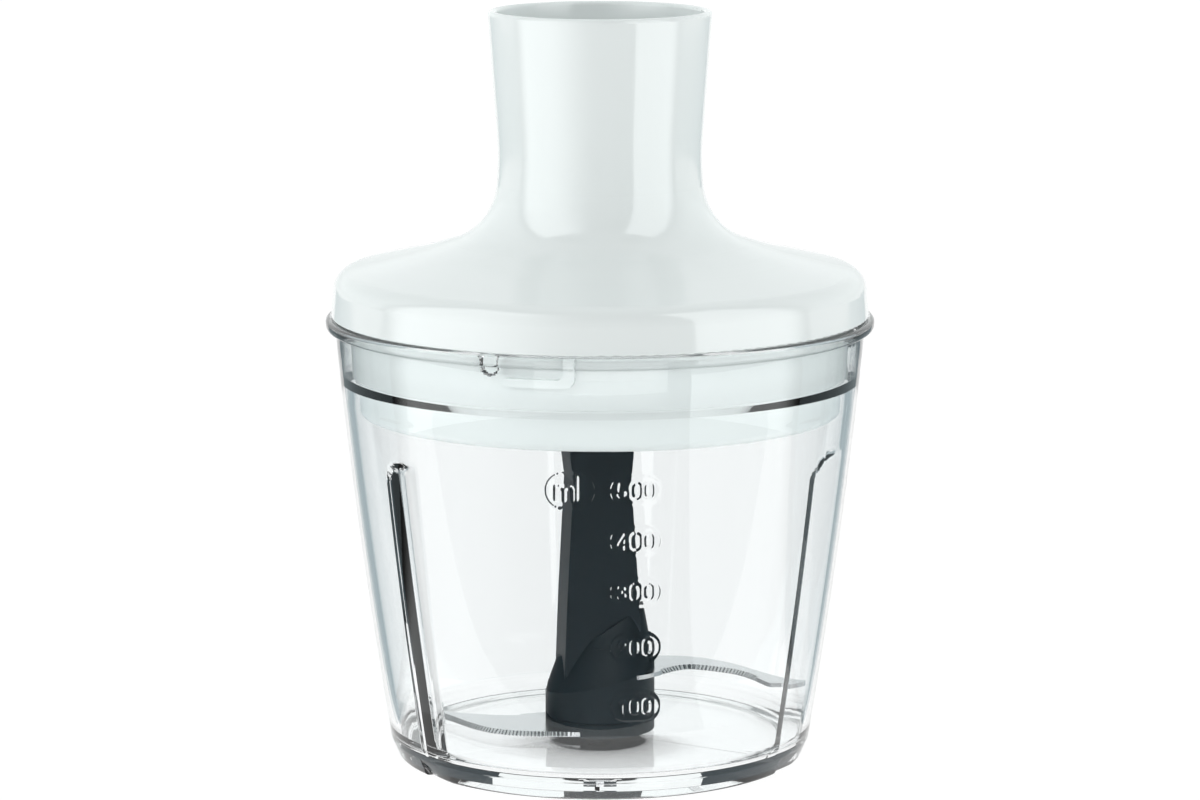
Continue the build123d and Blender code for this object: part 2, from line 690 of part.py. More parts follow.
with BuildPart() as ring_gear:
    with BuildSketch(Plane.XY.offset(RING_GEAR_BOTTOM)):
        Circle(CASE_BORE)
        gap_outline = gear_outline(RING_TEETH, DEDENDUM, ADDENDUM, -BACKLASH)
        add(gap_outline, mode=Mode.SUBTRACT)
    extrude(amount=RING_GEAR_TOP - RING_GEAR_BOTTOM)
finish_piece(ring_gear, "ring_gear")

with BuildPart() as lower_bush:
    with BuildSketch(Plane.XY.offset(PLUG_FLOOR + 0.3)):
        add(ring(LOWER_BUSH_RADIUS, OUTPUT_RADIUS + RUNNING))
    extrude(amount=BUSH_TOP - PLUG_FLOOR - 0.3)
finish_piece(lower_bush, "lower_bush")

with BuildPart() as upper_bush:
    with BuildSketch(Plane.XY.offset(UPPER_BUSH_BOTTOM)):
        add(ring(UPPER_BUSH_RADIUS, INPUT_RADIUS + RUNNING))
    extrude(amount=UPPER_BUSH_TOP - UPPER_BUSH_BOTTOM)
finish_piece(upper_bush, "upper_bush")

with BuildPart() as thrust_washer:
    with BuildSketch(Plane.XY.offset(GEAR_TOP + 0.2)):
        add(ring(UPPER_BUSH_RADIUS - 0.5, INPUT_RADIUS + 2 * RUNNING))
    extrude(amount=UPPER_BUSH_BOTTOM - GEAR_TOP - 0.2)
finish_piece(thrust_washer, "thrust_washer")

# ---------------------------------------------------------------- input side
with BuildPart() as input_shaft:
    with BuildSketch(Plane.XY.offset(CARRIER_TOP + 0.3)):
        Circle(INPUT_RADIUS)
    extrude(amount=SHAFT_TOP - CARRIER_TOP - 0.3)
    chamfer(input_shaft.edges().group_by(Axis.Z)[-1], 0.4)
finish_piece(input_shaft, "input_shaft")

with BuildPart() as sun_gear:
    with BuildSketch(Plane.XY.offset(GEAR_BOTTOM)):
        add(gear_outline(SUN_TEETH, ADDENDUM, DEDENDUM, BACKLASH))
        Circle(INPUT_RADIUS, mode=Mode.SUBTRACT)
    extrude(amount=GEAR_TOP - GEAR_BOTTOM)
finish_piece(sun_gear, "sun_gear")

with BuildPart() as shaft_clip:
    with BuildSketch(Plane.XY.offset(UPPER_BUSH_TOP + 0.2)):
        add(ring(CLIP_RADIUS, INPUT_RADIUS))
        # the gap through which the clip slides on
        with Locations((CLIP_RADIUS - 1.4, 0)):
            Rectangle(5.0, INPUT_RADIUS - 0.6, mode=Mode.SUBTRACT)
    extrude(amount=CLIP_THICKNESS)
finish_piece(shaft_clip, "shaft_clip")

with BuildPart() as input_coupling:
    # six-lobed star that enters the matching socket of a motor unit
    with BuildSketch(Plane.XY.offset(COUPLING_BOTTOM)):
        Circle(COUPLING_HOLE - 1.0)
    extrude(amount=COUPLING_DISC_TOP - COUPLING_BOTTOM)
    with BuildSketch(Plane.XY.offset(COUPLING_DISC_TOP)):
        Circle(4.6)
        with PolarLocations(4.9, STAR_LOBES):
            Circle(1.5)
    extrude(amount=COUPLING_TOP - COUPLING_DISC_TOP)
    chamfer(input_coupling.edges().group_by(Axis.Z)[-1], 0.5)
    with BuildSketch(Plane.XY.offset(COUPLING_BOTTOM)):
        Circle(INPUT_RADIUS)
    extrude(amount=SHAFT_TOP - COUPLING_BOTTOM, mode=Mode.SUBTRACT)
finish_piece(input_coupling, "input_coupling")

# ---------------------------------------------------------------- planets and output
with BuildPart() as planet_carrier:
    with BuildSketch(Plane.XY.offset(CARRIER_BOTTOM)):
        Circle(CENTRE_DISTANCE + 4.5)
        Rectangle(STUB_WIDTH, STUB_WIDTH, mode=Mode.SUBTRACT)
        with PolarLocations(CENTRE_DISTANCE, PLANETS):
            Circle(PLANET_PIN_RADIUS, mode=Mode.SUBTRACT)
    extrude(amount=CARRIER_TOP - CARRIER_BOTTOM)
finish_piece(planet_carrier, "planet_carrier")

with BuildPart() as planet_pins:
    with BuildSketch(Plane.XY.offset(CARRIER_BOTTOM)):
        with PolarLocations(CENTRE_DISTANCE, PLANETS):
            Circle(PLANET_PIN_RADIUS)
    extrude(amount=PLATE_TOP - CARRIER_BOTTOM)
finish_piece(planet_pins, "planet_pins")

with BuildPart() as carrier_plate:
    with BuildSketch(Plane.XY.offset(GEAR_TOP + 0.4)):
        add(ring(CENTRE_DISTANCE + 4.0, CENTRE_DISTANCE - 3.5))
        with PolarLocations(CENTRE_DISTANCE, PLANETS):
            Circle(PLANET_PIN_RADIUS, mode=Mode.SUBTRACT)
    extrude(amount=PLATE_TOP - GEAR_TOP - 0.4)
finish_piece(carrier_plate, "carrier_plate")

for index in range(PLANETS):
    turn = 2 * pi * index / PLANETS
    with BuildPart() as planet_gear:
        with BuildSketch(Plane.XY.offset(GEAR_BOTTOM)):
            with Locations((CENTRE_DISTANCE * cos(turn), CENTRE_DISTANCE * sin(turn))):
                add(gear_outline(PLANET_TEETH, ADDENDUM, DEDENDUM, BACKLASH))
                Circle(PLANET_PIN_RADIUS + RUNNING, mode=Mode.SUBTRACT)
        extrude(amount=GEAR_TOP - GEAR_BOTTOM)
    finish_piece(planet_gear, f"planet_gear_{index + 1}")

with BuildPart() as output_socket:
    with BuildSketch(Plane.XY.offset(OUTPUT_BOTTOM)):
        Circle(OUTPUT_RADIUS)
    extrude(amount=CARRIER_BOTTOM - OUTPUT_BOTTOM)
    with BuildSketch(Plane.XY.offset(OUTPUT_BOTTOM)):
        Circle(HEAD_RADIUS + 0.4)
        with PolarLocations(0, DOGS):
            dog_middle = 90 - DOG_ANGLE - DOG_PLAY
            add(ring_sector(HEAD_RADIUS + 2, HEAD_CORE + 0.5, dog_middle, DOG_ANGLE), mode=Mode.SUBTRACT)
    extrude(amount=HEAD_TOP + 0.8 - OUTPUT_BOTTOM, mode=Mode.SUBTRACT)
    with BuildSketch(Plane.XY.offset(CARRIER_BOTTOM)):
        Rectangle(STUB_WIDTH, STUB_WIDTH)
    extrude(amount=CARRIER_TOP - CARRIER_BOTTOM)
finish_piece(output_socket, "output_socket")
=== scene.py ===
# Looks for the chopping bowl: clear bowl, white lid, black blade unit, bright studio.
#
# Everything is in metres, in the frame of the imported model. The bowl and the blades are written in
# millimetres and scaled by MM. Azimuths are in degrees, 0 at the front (-Y), growing towards +X.

import bpy
import json
import math
import numpy as np
from mathutils import Matrix, Vector
from mathutils.geometry import tessellate_polygon


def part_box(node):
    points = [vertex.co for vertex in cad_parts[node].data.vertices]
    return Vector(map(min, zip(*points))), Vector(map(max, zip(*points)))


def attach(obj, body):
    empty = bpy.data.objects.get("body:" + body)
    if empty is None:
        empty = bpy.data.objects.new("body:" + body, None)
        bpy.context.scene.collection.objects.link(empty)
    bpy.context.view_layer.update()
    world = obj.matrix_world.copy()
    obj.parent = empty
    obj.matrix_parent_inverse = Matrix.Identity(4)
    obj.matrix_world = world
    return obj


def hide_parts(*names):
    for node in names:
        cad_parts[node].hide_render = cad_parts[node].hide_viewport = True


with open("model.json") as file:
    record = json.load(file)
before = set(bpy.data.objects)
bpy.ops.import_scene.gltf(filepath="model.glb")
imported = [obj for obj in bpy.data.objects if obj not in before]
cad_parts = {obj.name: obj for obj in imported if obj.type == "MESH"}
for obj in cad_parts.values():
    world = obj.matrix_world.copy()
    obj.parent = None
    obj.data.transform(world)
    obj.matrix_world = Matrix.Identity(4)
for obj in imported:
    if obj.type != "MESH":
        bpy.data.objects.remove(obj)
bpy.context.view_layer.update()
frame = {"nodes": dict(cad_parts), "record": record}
MM = 0.001

# ---------------------------------------------------------------- measured off the frame
FLANGE_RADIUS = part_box("bowl")[1].x / MM
RIM_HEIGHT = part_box("bowl")[1].z / MM

# ---------------------------------------------------------------- dimensions, in millimetres
# wall and rim
BASE_RADIUS = 48.5
BASE_CORNER = 3.0
WALL_TOP_RADIUS = 60.9
WALL_BULGE = 0.8
WALL = 2.4
FLANGE_BOTTOM = 99.9
MOUTH_RADIUS = 58.6
LEDGE = 91.0
LEDGE_FALL = 4.0
LEDGE_EDGE = LEDGE - 0.8            # the ledge turns inwards here
LEDGE_FOOT = LEDGE - LEDGE_FALL     # and meets the inner face here

# floor and foot
FLOOR_TOP = 4.8
FLOOR_BOTTOM = 2.2
FLOOR_CORNER = 3.5
FLOOR_FLAT = 38.0                   # the floor is flat up to this radius
FOOT_RADIUS = 42.5
RECESS_RADIUS = FOOT_RADIUS - 1.0   # the recess under the floor slopes down from here
FOOT_INNER = FOOT_RADIUS + 3.0
FOOT_OUTER = BASE_RADIUS - 1.6
CORNER_TOP = 4.2
WALL_START = 6.0
BOSS_RADIUS = 5.0
BOSS_TOP = 8.6
PIN_RADIUS = 2.5
PIN_SEAT = FLOOR_BOTTOM + 0.6

# ribs
RIB_DEPTH = 1.3
RIB_STARTS = (-57.5, 58.0, 180.0)   # azimuth of the steep face of each rib
RIB_SWEEP = 12.0
RIB_TOP = 74.3
RIB_CORNER = 6.0
RIB_EDGE = 0.4                      # width over which the steep face rises
RIB_TOP_EDGE = 0.6

# locking lugs
LUG_AZIMUTHS = (-24.0, 96.0, 216.0)
LUG_RADIUS = 57.0
LUG_BOTTOM = 97.6
LUG_TOP = 102.2
LUG_WIDTH = 4.2
LUG_EDGE = 0.5
LUG_INSET = 0.15

# ---------------------------------------------------------------- geometry helpers
ON_AXIS = 1e-6              # an outline point with a smaller radius becomes one point
REVOLVED_CREASE = 35        # degrees; sharper edges of a revolved piece stay sharp


def wall_radius(height):
    """Outside radius of the bowl wall."""
    share = (height - BASE_CORNER) / (FLANGE_BOTTOM - BASE_CORNER)
    straight = BASE_RADIUS + (WALL_TOP_RADIUS - BASE_RADIUS) * share
    return straight + 4 * WALL_BULGE * share * (1 - share)


def inner_radius(height):
    """Inside radius of the bowl wall below the ledge."""
    return wall_radius(height) - WALL


def along(radius_at, heights):
    """Outline points at some heights of a wall whose radius is a function of the height."""
    return [Vector((radius_at(z), z)) for z in heights]


def rounded(corners, steps):
    """Outline through (radius, height, corner radius) triples, with each corner rounded by an arc."""
    points = []
    for index, (x, z, size) in enumerate(corners):
        here = Vector((x, z))
        if size == 0 or index in (0, len(corners) - 1):
            points.append(here)
            continue
        before = (Vector(corners[index - 1][:2]) - here).normalized()
        after = (Vector(corners[index + 1][:2]) - here).normalized()
        half = before.angle(after) / 2
        start = here + before * size / math.tan(half)
        centre = here + (before + after).normalized() * size / math.sin(half)
        end = here + after * size / math.tan(half)
        sweep = (start - centre).angle_signed(end - centre)
        for step in range(steps + 1):
            turn = Matrix.Rotation(-sweep * step / steps, 2)
            points.append(centre + turn @ (start - centre))
    return points


def subdivide(points, spacing):
    """The same outline with no gap between points wider than the spacing."""
    result = [points[0]]
    for start, end in zip(points, points[1:]):
        count = max(1, math.ceil((end - start).length / spacing))
        result += [start.lerp(end, step / count) for step in range(1, count + 1)]
    return result


def slope_step(distance, width):
    """0 to 1 as a signed distance passes from -width/2 to width/2."""
    share = np.clip(distance / width + 0.5, 0, 1)
    return share * share * (3 - 2 * share)


def link(mesh, name, slot, body):
    """Makes an object of a mesh, gives it its finish and lets it ride on its body."""
    piece = bpy.data.objects.new(name, mesh)
    bpy.context.scene.collection.objects.link(piece)
    mesh.materials.append(MATERIALS[slot])
    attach(piece, body)
    return piece


def smooth(mesh, angle):
    """Smooth shading, with edges sharper than the angle kept sharp."""
    mesh.polygons.foreach_set("use_smooth", [True] * len(mesh.polygons))
    mesh.set_sharp_from_angle(angle=math.radians(angle))


def strip_faces(lower, fine, upper, inside):
    """Faces between two rows of points, which have finer rows between them at the inside columns."""
    faces = []
    chain = [lower, *fine, upper]
    for column in range(len(lower)):
        after = (column + 1) % len(lower)
        if fine and inside[column] and inside[after]:
            for one, two in zip(chain, chain[1:]):
                faces.append((one[column], one[after], two[after], two[column]))
            continue
        right = [row[after] for row in fine] if inside[after] else []
        left = [row[column] for row in reversed(fine)] if inside[column] else []
        face = [lower[column], lower[after], *right, upper[after], upper[column], *left]
        faces.append([number for number, before in zip(face, [face[-1]] + face[:-1]) if number != before])
    return faces


def revolve(name, outline, azimuths, shape, patch):
    """Mesh of an outline, which starts and ends on the axis, turned through the azimuths.

    The shape function changes the radii. The patch says where finer rows carry raised lettering:
    its first and last outline row, its lowest and highest azimuth, and the sub-rows in each row.
    """
    degrees = np.array(azimuths)
    points = []

    def add_row(radius, height, turns):
        """Adds the points of a row at some azimuths and returns their numbers."""
        radii = shape(np.full(len(turns), radius, float), np.full(len(turns), height, float), turns)
        first = len(points)
        for r, turn in zip(radii, np.radians(turns)):
            points.append((r * math.sin(turn) * MM, -r * math.cos(turn) * MM, height * MM))
        return np.arange(first, first + len(turns))

    rows = []
    for radius, height in outline:
        on_axis = radius < ON_AXIS
        numbers = add_row(radius, height, degrees[:1] if on_axis else degrees)
        rows.append(np.full(len(degrees), numbers[0]) if on_axis else numbers)
    first_row, last_row, low, high, parts = patch
    inside = (degrees >= low) & (degrees <= high)
    faces = []
    for row in range(len(rows) - 1):
        fine = []
        if first_row <= row < last_row:
            for part in range(1, parts):
                share = part / parts
                radius, height = (a + (b - a) * share for a, b in zip(outline[row], outline[row + 1]))
                numbers = np.full(len(degrees), -1)
                numbers[inside] = add_row(radius, height, degrees[inside])
                fine.append(numbers)
        faces += strip_faces(rows[row], fine, rows[row + 1], inside)
    mesh = bpy.data.meshes.new(name)
    mesh.from_pydata(points, [], [[int(number) for number in face] for face in faces])
    smooth(mesh, REVOLVED_CREASE)
    return mesh


# ---------------------------------------------------------------- materials
def shader_of(material):
    """The Principled shader of a material."""
    return material.node_tree.nodes["Principled BSDF"]


def principled(name, color, roughness, **settings):
    """A material with one Principled shader."""
    material = bpy.data.materials.new(name)
    material.use_nodes = True
    shader = shader_of(material)
    shader.inputs["Base Color"].default_value = (*color, 1)
    shader.inputs["Roughness"].default_value = roughness
    for socket, value in settings.items():
        shader.inputs[socket.replace("_", " ")].default_value = value
    return material


def noise_field(tree, scale):
    """A noise texture fixed to the object."""
    coordinates = tree.nodes.new("ShaderNodeTexCoord")
    noise = tree.nodes.new("ShaderNodeTexNoise")
    noise.inputs["Scale"].default_value = scale
    tree.links.new(coordinates.outputs["Object"], noise.inputs["Vector"])
    return noise


def add_bump(material, scale, strength):
    """Fine moulded texture as a bump."""
    tree = material.node_tree
    noise = noise_field(tree, scale)
    noise.inputs["Detail"].default_value = 3.0
    bump = tree.nodes.new("ShaderNodeBump")
    bump.inputs["Strength"].default_value = strength
    bump.inputs["Distance"].default_value = 0.1 * MM
    tree.links.new(noise.outputs["Fac"], bump.inputs["Height"])
    tree.links.new(bump.outputs["Normal"], shader_of(material).inputs["Normal"])


def vary_roughness(material, low, high, scale):
    """Roughness that wanders between two values."""
    tree = material.node_tree
    noise = noise_field(tree, scale)
    spread = tree.nodes.new("ShaderNodeMapRange")
    spread.inputs["To Min"].default_value = low
    spread.inputs["To Max"].default_value = high
    tree.links.new(noise.outputs["Fac"], spread.inputs["Value"])
    tree.links.new(spread.outputs["Result"], shader_of(material).inputs["Roughness"])


def clear_plastic():
    """Clear, faintly cool plastic with polished faces."""
    return principled("clear_plastic", (0.985, 0.998, 1.0), 0.0, Transmission_Weight=1.0, IOR=1.52)


def white_plastic():
    """Glossy white plastic with a slightly uneven shine."""
    material = principled("white_plastic", (0.745, 0.785, 0.78), 0.09, IOR=1.6)
    vary_roughness(material, low=0.07, high=0.12, scale=60)
    return material


def black_plastic():
    """Black plastic with a fine matt grain."""
    material = principled("black_plastic", (0.005, 0.013, 0.018), 0.5, Specular_IOR_Level=0.3)
    add_bump(material, scale=5000, strength=0.25)
    return material


def steel(name, low, high):
    """Steel whose roughness wanders between two values."""
    material = principled(name, (0.70, 0.71, 0.72), 0.2, Metallic=1.0)
    vary_roughness(material, low, high, scale=400)
    return material


def moulded(name, color, roughness, **settings):
    """Rubber, nylon or sintered metal with a faint grain."""
    material = principled(name, color, roughness, **settings)
    add_bump(material, scale=2500, strength=0.15)
    return material


MATERIALS = {
    "clear_plastic": clear_plastic(),
    "white_plastic": white_plastic(),
    "black_plastic": black_plastic(),
    "blade_steel": steel("blade_steel", 0.16, 0.3),
    "polished_steel": steel("polished_steel", 0.06, 0.16),
    "seal_rubber": moulded("seal_rubber", (0.75, 0.79, 0.79), 0.55),
    "dark_rubber": moulded("dark_rubber", (0.03, 0.03, 0.033), 0.6),
    "nylon": moulded("nylon", (0.80, 0.79, 0.72), 0.45),
    "bronze": moulded("bronze", (0.55, 0.36, 0.17), 0.35, Metallic=1.0),
}

for entry in frame["record"]["subparts"]:
    node = frame["nodes"][entry["node"]]
    node.data.materials.clear()
    node.data.materials.append(MATERIALS[entry["material_slot"]])


# ---------------------------------------------------------------- measuring scale
ARC_POINTS = 8


def arc(x, y, radius, start, end):
    """Points on an arc, angles in degrees from +x."""
    turns = np.radians(np.linspace(start, end, ARC_POINTS))
    return [(x + radius * math.cos(turn), y + radius * math.sin(turn)) for turn in turns]


# strokes of the characters in a box one unit wide and two units high
STROKES = {
    "0": [arc(0.5, 1.5, 0.5, 0, 180) + arc(0.5, 0.5, 0.5, 180, 360) + [(1.0, 1.5)]],
    "1": [[(0.2, 1.6), (0.65, 2.0), (0.65, 0.0)]],
    "2": [arc(0.5, 1.5, 0.5, 170, -25) + [(0.05, 0.0), (1.0, 0.0)]],
    "3": [arc(0.48, 1.53, 0.47, 165, -85), arc(0.48, 0.53, 0.53, 85, -165)],
    "4": [[(0.75, 0.0), (0.75, 2.0), (0.0, 0.55), (1.05, 0.55)]],
    "5": [[(0.95, 2.0), (0.15, 2.0), (0.08, 1.05)] + arc(0.46, 0.62, 0.55, 125, -160)],
    "m": [[(0.0, 0.0), (0.0, 1.45)], arc(0.45, 1.0, 0.45, 180, 0) + [(0.9, 0.0)],
          arc(1.35, 1.0, 0.45, 180, 0) + [(1.8, 0.0)]],
    "l": [[(0.0, 0.0), (0.0, 2.6)]],
}
M_EXTRA = 0.8               # the m is this much wider than one unit
SCALE_MARKS = ((100, 22.5), (200, 36.4), (300, 49.3), (400, 61.0), (500, 72.6))     # label, height

# pads under the numbers and under the unit; each middle is measured from the middle of the front
PILL_LENGTH = 11.1
PILL_HEIGHT = 6.6
PILL_MIDDLE = 7.8
UNIT_LENGTH = 10.9
UNIT_HEIGHT = 8.2
UNIT_MIDDLE = -6.6
UNIT_TEXT_MIDDLE = -7.2
PAD_RISE = 0.09
PAD_EDGE = 0.24             # width over which a pad rises

# short line beside each number
TICK_START = -0.9
TICK_LENGTH = 3.4
TICK_HALF_HEIGHT = 0.3
TICK_EDGE = 0.4

# characters
DIGIT_UNIT = 1.6            # half the height of a digit
DIGIT_PITCH = 2.75
UNIT_TEXT_UNIT = 1.9
UNIT_TEXT_PITCH = 2.9
TEXT_STRETCH = 1.15
TEXT_RISE = 0.12
STROKE = 0.28               # half width of the raised strokes
STROKE_EDGE = 0.28

# stretch of the wall that carries the scale
SCALE_LOW = 18.0
SCALE_HIGH = 78.0
SCALE_SIDES = (-13.4, 15.6)     # azimuths between which the wall mesh is fine
SCALE_ROW = 2.5
SCALE_SUB_ROWS = 8
FAR = 1e3                   # further than any stroke


def stroke_distance(x, y, line):
    """Distance from points to a polyline."""
    best = np.full(x.shape, FAR)
    for (ax, ay), (bx, by) in zip(line, line[1:]):
        dx, dy = bx - ax, by - ay
        share = np.clip(((x - ax) * dx + (y - ay) * dy) / (dx * dx + dy * dy), 0, 1)
        best = np.minimum(best, np.hypot(x - ax - share * dx, y - ay - share * dy))
    return best


def text_rise(x, y, text, unit, pitch):
    """Height of raised characters, centred on the origin."""
    best = np.full(x.shape, FAR)
    wide = unit * TEXT_STRETCH
    start = -((len(text) - 1) * pitch + wide) / 2
    for character in text:
        for stroke in STROKES[character]:
            line = [(start + px * wide, (py - 1) * unit) for px, py in stroke]
            best = np.minimum(best, stroke_distance(x, y, line))
        start += pitch + (M_EXTRA * wide if character == "m" else 0)
    return TEXT_RISE * slope_step(STROKE - best, STROKE_EDGE)


def pill_rise(x, y, length, height):
    """Height of a raised pad with round ends."""
    distance = np.hypot(np.maximum(np.abs(x) - (length - height) / 2, 0), y)
    return PAD_RISE * slope_step(height / 2 - distance, PAD_EDGE)


def tick_rise(x, y):
    """Height of the short line beside a number."""
    half = TICK_LENGTH / 2
    distance = np.hypot(np.maximum(np.abs(x - TICK_START - half) - half, 0), y)
    return PAD_RISE * slope_step(TICK_HALF_HEIGHT - distance, TICK_EDGE)


def scale_rise(height, azimuth):
    """Relief of the measuring scale on the front of the bowl."""
    x = np.radians(azimuth) * wall_radius(height)
    rise = np.zeros_like(x)
    for label, level in SCALE_MARKS:
        y = height - level
        pill = pill_rise(x - PILL_MIDDLE, y, PILL_LENGTH, PILL_HEIGHT)
        digits = text_rise(x - PILL_MIDDLE, y, str(label), DIGIT_UNIT, DIGIT_PITCH)
        rise += np.maximum(pill, tick_rise(x, y)) + digits
    y = height - SCALE_MARKS[-1][1]
    rise += pill_rise(x - UNIT_MIDDLE, y, UNIT_LENGTH, UNIT_HEIGHT)
    rise += text_rise(x - UNIT_TEXT_MIDDLE, y, "ml", UNIT_TEXT_UNIT, UNIT_TEXT_PITCH)
    return rise


# ---------------------------------------------------------------- bowl
INNER_MARGIN = 0.5          # points this far inside the outer face belong to the inner face
OUTER_MARGIN = 0.2
FLOOR_REACH = 30.0          # points nearer to the axis belong to the floor
COARSE_STEP = 2.5           # azimuth steps of the mesh columns
SCALE_STEP = 0.21
RIB_FACE = (-0.6, 1.0, 0.16)        # first, last and step, from the steep face of a rib
RIB_SLOPE = (1.0, RIB_SWEEP + 1.0, 1.0)
LUG_SPAN = (-2.8, 2.81, 0.43)       # the same, from the middle of a lug
CLOSEST = 0.04              # columns closer together than this become one


def turned_from(azimuth, start):
    """Azimuth measured from a start, between -180 and 180."""
    return (azimuth - start + 180) % 360 - 180


def rib_depth(radius, height, azimuth, start):
    """How far one rib stands out of the inner face."""
    turned = turned_from(azimuth, start)
    arc_length = np.radians(turned) * radius
    corner = np.clip(RIB_CORNER - arc_length, 0, RIB_CORNER)
    top = RIB_TOP - (RIB_CORNER - np.sqrt(RIB_CORNER**2 - corner**2))
    ramp = np.clip(1 - turned / RIB_SWEEP, 0, 1)
    face = slope_step(arc_length - RIB_EDGE / 2, RIB_EDGE)
    return RIB_DEPTH * ramp * face * slope_step(top - height, RIB_TOP_EDGE)


def lug_depth(radius, height, azimuth, middle):
    """How far one locking lug stands out of the inner face."""
    arc_length = np.radians(turned_from(azimuth, middle)) * radius
    gap = height - np.clip(height, LUG_BOTTOM + LUG_WIDTH / 2, LUG_TOP - LUG_WIDTH / 2)
    distance = LUG_WIDTH / 2 - np.hypot(arc_length, gap)
    return (MOUTH_RADIUS - LUG_RADIUS) * slope_step(distance - LUG_INSET, LUG_EDGE)


def bowl_shape(radius, height, azimuth):
    """Adds the ribs and the locking lugs inside and the scale outside."""
    change = np.zeros_like(radius)
    for start in RIB_STARTS:
        change += rib_depth(radius, height, azimuth, start)
    for middle in LUG_AZIMUTHS:
        change += lug_depth(radius, height, azimuth, middle)
    inside = (radius < wall_radius(height) - INNER_MARGIN) & (radius > FLOOR_REACH)
    outside = (radius > wall_radius(height) - OUTER_MARGIN) & (height > SCALE_LOW) & (height < SCALE_HIGH)
    near = (azimuth > SCALE_SIDES[0]) & (azimuth < SCALE_SIDES[1])
    raised = np.where(outside & near, scale_rise(height, np.where(near, azimuth, 0)), 0)
    return radius - np.where(inside, change, 0) + raised


def bowl_columns():
    """Azimuths of the mesh columns: even, and closer together at the scale, the ribs and the lugs."""
    columns = [*np.arange(-180, 180, COARSE_STEP), *np.arange(*SCALE_SIDES, SCALE_STEP)]
    for start in RIB_STARTS:
        columns += [*(start + np.arange(*RIB_FACE)), *(start + np.arange(*RIB_SLOPE))]
    for middle in LUG_AZIMUTHS:
        columns += [*(middle + np.arange(*LUG_SPAN))]
    wrapped = sorted({round(turned_from(value, 0), 3) for value in columns})
    return [value for value, after in zip(wrapped, wrapped[1:] + [360.0]) if after - value > CLOSEST]


def bowl_outline():
    """Section of the bowl from the underside round the outside, over the rim and down the inside.

    Returns the points, and the first and last row of the stretch that carries the scale.
    """
    foot = rounded([
        (0, FLOOR_BOTTOM, 0), (RECESS_RADIUS, FLOOR_BOTTOM, 0.6), (FOOT_INNER, 0, 0.3),
        (FOOT_OUTER, 0, 1.2), (wall_radius(CORNER_TOP), CORNER_TOP, 2.5),
        (wall_radius(WALL_START), WALL_START, 0)], 8)
    foot += along(wall_radius, (9, 12, 15))
    wall = along(wall_radius, np.arange(SCALE_LOW, SCALE_HIGH + 0.1, SCALE_ROW))
    upper = along(wall_radius, (82, 86, 90, 94))
    rim = rounded([
        (wall_radius(97), 97, 0), (WALL_TOP_RADIUS, FLANGE_BOTTOM, 0.7),
        (FLANGE_RADIUS, FLANGE_BOTTOM, 1.0), (FLANGE_RADIUS, RIM_HEIGHT, 1.0),
        (MOUTH_RADIUS, RIM_HEIGHT, 0.3), (MOUTH_RADIUS, 97, 0)], 6)
    mouth = subdivide(rim[-2:], 0.35)[1:]
    ledge = rounded([
        (MOUTH_RADIUS, 95, 0), (MOUTH_RADIUS - 0.05, LEDGE_EDGE, 1.2),
        (inner_radius(LEDGE_FOOT) + 0.1, LEDGE_FOOT + 1.2, 1.2), (inner_radius(84), 84, 0)], 6)
    inside = along(inner_radius, (82, 79, 76))
    inside += along(inner_radius, np.arange(75, 66, -0.75))     # close rows round the tops of the ribs
    inside += along(inner_radius, np.linspace(64, 9, 12))
    bottom = rounded([
        (inner_radius(7.6), 7.6, 0), (inner_radius(FLOOR_TOP), FLOOR_TOP, FLOOR_CORNER),
        (FLOOR_FLAT, FLOOR_TOP, 0), (BOSS_RADIUS, FLOOR_TOP, 1.0), (BOSS_RADIUS, BOSS_TOP, 0.4),
        (PIN_RADIUS, BOSS_TOP, 0.2), (PIN_RADIUS, PIN_SEAT, 0.2), (0, PIN_SEAT, 0)], 5)
    points = foot + wall + upper + rim[:-1] + mouth + ledge + inside + bottom
    return points, len(foot), len(foot) + len(wall) - 1


outline, scale_first, scale_last = bowl_outline()
scale_patch = (scale_first, scale_last, *SCALE_SIDES, SCALE_SUB_ROWS)
bowl_mesh = revolve("bowl_clear", outline, bowl_columns(), bowl_shape, scale_patch)
bowl = link(bowl_mesh, "bowl_clear", "clear_plastic", "bowl")
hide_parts("bowl")

# ---------------------------------------------------------------- blades
BEVEL_WIDTH = 1.05
BEVEL_SWAY = (1.2, 0.4)     # the bevel's width at the gaps, and how much less of it at the teeth
BEVEL_ROOT = 14.0           # radius where the bevel begins, outside the hub
BEVEL_END = 2.5             # distance from the tip where it ends
BEVEL_FADE = 3.0
LEAST_BEVEL = 0.01          # share of the full bevel below which the side stays plain
EDGE_HEIGHT = 0.15          # thickness left at the cutting edge
EDGE_ONSET = 3              # the edge is down to that thickness at a third of the bevel
TOOTH_PITCH = 0.9
TOOTH_DEPTH = 0.14
OUTLINE_SPACING = 0.15
NEIGHBOURS = 6              # the outline's direction is taken this many points to each side
TOP_TOLERANCE = 0.01
BLADE_CREASE = 12           # degrees; sharper edges stay sharp


def top_edges(mesh, points, top):
    """The corners that follow each corner along the border of the top face."""
    follow = {}
    for face in mesh.polygons:
        if all(points[index].z > top - TOP_TOLERANCE for index in face.vertices):
            corners = list(face.vertices)
            for start, end in zip(corners, corners[1:] + corners[:1]):
                first = tuple(round(value, 4) for value in points[start][:2])
                second = tuple(round(value, 4) for value in points[end][:2])
                if follow.get(second) and first in follow[second]:
                    follow[second].remove(first)
                else:
                    follow.setdefault(first, []).append(second)
    return follow


